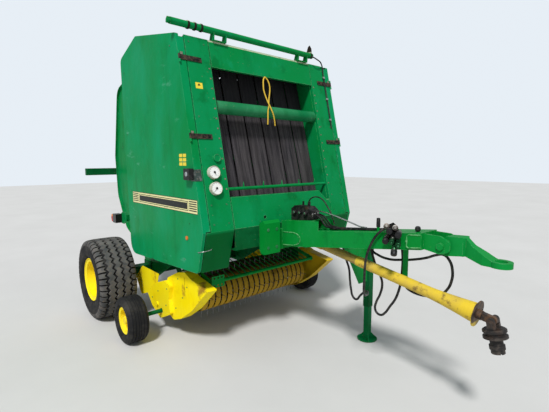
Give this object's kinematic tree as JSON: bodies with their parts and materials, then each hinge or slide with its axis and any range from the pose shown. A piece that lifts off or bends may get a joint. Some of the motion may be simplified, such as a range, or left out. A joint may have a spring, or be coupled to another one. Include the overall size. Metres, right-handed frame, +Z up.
{
  "type": "towed round baler",
  "caption": "Towed round baler with belts: tall sheet-metal body with a front window, tined pickup with gauge wheels, hinged tailgate and side doors, tongue with ring eye, jack and driveline.",
  "frame": {"origin": "on the ground under the middle of the machine's overall length and width", "axes": "+Z up, -Y towards the hitch, -X towards the machine's right-hand side"},
  "size_m": [2.55, 4.4991, 2.862],
  "materials": {
    "green_paint": "green enamel, semi-gloss, faded and scuffed",
    "dark_green_paint": "dark green enamel, dull",
    "yellow_paint": "yellow enamel, semi-gloss, scratched",
    "band_paint": "yellow enamel worn to a dull gold",
    "tyre_rubber": "dusty black tyre rubber",
    "belt_rubber": "black ribbed belt rubber, matte",
    "hose_rubber": "black hydraulic hose",
    "bare_steel": "worn bright steel",
    "chrome_rod": "hard-chromed rod",
    "black_plastic": "black moulded plastic, weathered",
    "dark_iron": "dark greasy iron",
    "dial_white": "white dial behind a clear face",
    "lamp_red": "red and orange lamp lens",
    "rope": "yellow braided rope"
  },
  "bodies": {
    "chassis": {"side_frames": "green_paint", "cross_beam": "green_paint", "axle": "dark_green_paint", "front_strips": "green_paint", "front_panels": "green_paint", "shield_hinges": "dark_iron", "top_tube": "green_paint", "window_roller": "green_paint", "chamber_rollers": "dark_iron", "front_belts": "belt_rubber", "belt_guide": "dark_iron", "gauges": "dial_white", "tongue": "green_paint", "hitch_arm": "green_paint", "gearbox": "green_paint", "valve_block": "dark_iron", "jack_tube": "dark_green_paint", "tie_rope": "rope", "hose_side": "hose_rubber", "hose_loop": "hose_rubber", "hose_front": "hose_rubber"},
    "right_wheel": {"right_tyre": "tyre_rubber", "right_rim": "yellow_paint"},
    "left_wheel": {"left_tyre": "tyre_rubber", "left_rim": "yellow_paint"},
    "tailgate": {"tailgate_frame": "green_paint", "tailgate_rollers": "dark_iron", "tailgate_belts": "belt_rubber", "light_bar": "dark_green_paint", "lamps": "lamp_red"},
    "right_barrel": {"right_cylinder": "green_paint"},
    "right_ram": {"right_rod": "chrome_rod"},
    "left_barrel": {"left_cylinder": "green_paint"},
    "left_ram": {"left_rod": "chrome_rod"},
    "right_door": {"right_shield": "green_paint", "marker_box": "black_plastic"},
    "left_door": {"left_shield": "green_paint"},
    "pickup": {"pickup_frame": "dark_green_paint", "pickup_bands": "band_paint", "pickup_shields": "yellow_paint"},
    "reel": {"pickup_reel": "bare_steel"},
    "right_gauge_wheel": {"right_gauge_tyre": "tyre_rubber", "right_gauge_rim": "yellow_paint"},
    "left_gauge_wheel": {"left_gauge_tyre": "tyre_rubber", "left_gauge_rim": "yellow_paint"},
    "crop_guard": {"windguard": "green_paint"},
    "jack": {"jack_leg": "dark_green_paint"},
    "driveline_rear": {"pto_rear": "yellow_paint"},
    "driveline_front": {"pto_front": "yellow_paint"},
    "driveline_yoke": {"pto_joint": "dark_iron"}
  },
  "joints": [
    {"name": "right_wheel_spin", "type": "hinge", "parent": "chassis", "child": "right_wheel", "pos_m": [-1.085, 1.3435, 0.425], "axis": [1, 0, 0], "continuous": true},
    {"name": "left_wheel_spin", "type": "hinge", "parent": "chassis", "child": "left_wheel", "pos_m": [1.085, 1.3435, 0.425], "axis": [1, 0, 0], "continuous": true},
    {"name": "tailgate_hinge", "type": "hinge", "parent": "chassis", "child": "tailgate", "pos_m": [0, 1.0535, 2.61], "axis": [1, 0, 0], "range_deg": [0, 60]},
    {"name": "right_barrel_swing", "type": "hinge", "parent": "chassis", "child": "right_barrel", "pos_m": [-0.72, 0.8935, 1.3], "axis": [1, 0, 0], "range_deg": [-1, 5.62]},
    {"name": "right_ram_slide", "type": "slide", "parent": "right_barrel", "child": "right_ram", "axis": [0, 0.4433, 0.8964], "range_m": [0, 0.4409]},
    {"name": "left_barrel_swing", "type": "hinge", "parent": "chassis", "child": "left_barrel", "pos_m": [0.72, 0.8935, 1.3], "axis": [1, 0, 0], "range_deg": [-1, 5.62]},
    {"name": "left_ram_slide", "type": "slide", "parent": "left_barrel", "child": "left_ram", "axis": [0, 0.4433, 0.8964], "range_m": [0, 0.4409]},
    {"name": "right_door_hinge", "type": "hinge", "parent": "chassis", "child": "right_door", "pos_m": [-0.896, -0.26486, 1.87216], "axis": [0, 0.2165, 0.9763], "range_deg": [0, 100]},
    {"name": "left_door_hinge", "type": "hinge", "parent": "chassis", "child": "left_door", "pos_m": [0.896, -0.26486, 1.87216], "axis": [0, -0.2165, -0.9763], "range_deg": [0, 100]},
    {"name": "pickup_lift", "type": "hinge", "parent": "chassis", "child": "pickup", "pos_m": [0, 0.6435, 0.72], "axis": [-1, 0, 0], "range_deg": [0, 10]},
    {"name": "reel_spin", "type": "hinge", "parent": "pickup", "child": "reel", "pos_m": [0, 0.1755, 0.425], "axis": [1, 0, 0], "continuous": true},
    {"name": "right_gauge_spin", "type": "hinge", "parent": "pickup", "child": "right_gauge_wheel", "pos_m": [-1.135, 0.5205, 0.217], "axis": [1, 0, 0], "continuous": true},
    {"name": "left_gauge_spin", "type": "hinge", "parent": "pickup", "child": "left_gauge_wheel", "pos_m": [1.135, 0.5205, 0.217], "axis": [1, 0, 0], "continuous": true},
    {"name": "crop_guard_hinge", "type": "hinge", "parent": "pickup", "child": "crop_guard", "pos_m": [0, 0.1755, 0.69], "axis": [-1, 0, 0], "range_deg": [0, 15]},
    {"name": "jack_slide", "type": "slide", "parent": "chassis", "child": "jack", "axis": [0, 0, 1], "range_m": [0, 0.24]},
    {"name": "driveline_tilt", "type": "hinge", "parent": "chassis", "child": "driveline_rear", "pos_m": [0, -0.7415, 0.985], "axis": [-1, 0, 0], "range_deg": [-10, 4]},
    {"name": "driveline_slide", "type": "slide", "parent": "driveline_rear", "child": "driveline_front", "axis": [0, -0.9853, -0.1708], "range_m": [-0.15, 0.25]},
    {"name": "driveline_bend", "type": "hinge", "parent": "driveline_front", "child": "driveline_yoke", "pos_m": [0, -2.16325, 0.73848], "axis": [-1, 0, 0], "range_deg": [-5, 60]}
  ],
  "couplings": [
    {"joint": "right_barrel_swing", "follows": "tailgate_hinge", "ratio": 0.076918},
    {"joint": "right_ram_slide", "follows": "tailgate_hinge", "m_per_rad": 0.41724},
    {"joint": "left_barrel_swing", "follows": "tailgate_hinge", "ratio": 0.076918},
    {"joint": "left_ram_slide", "follows": "tailgate_hinge", "m_per_rad": 0.41724}
  ]
}
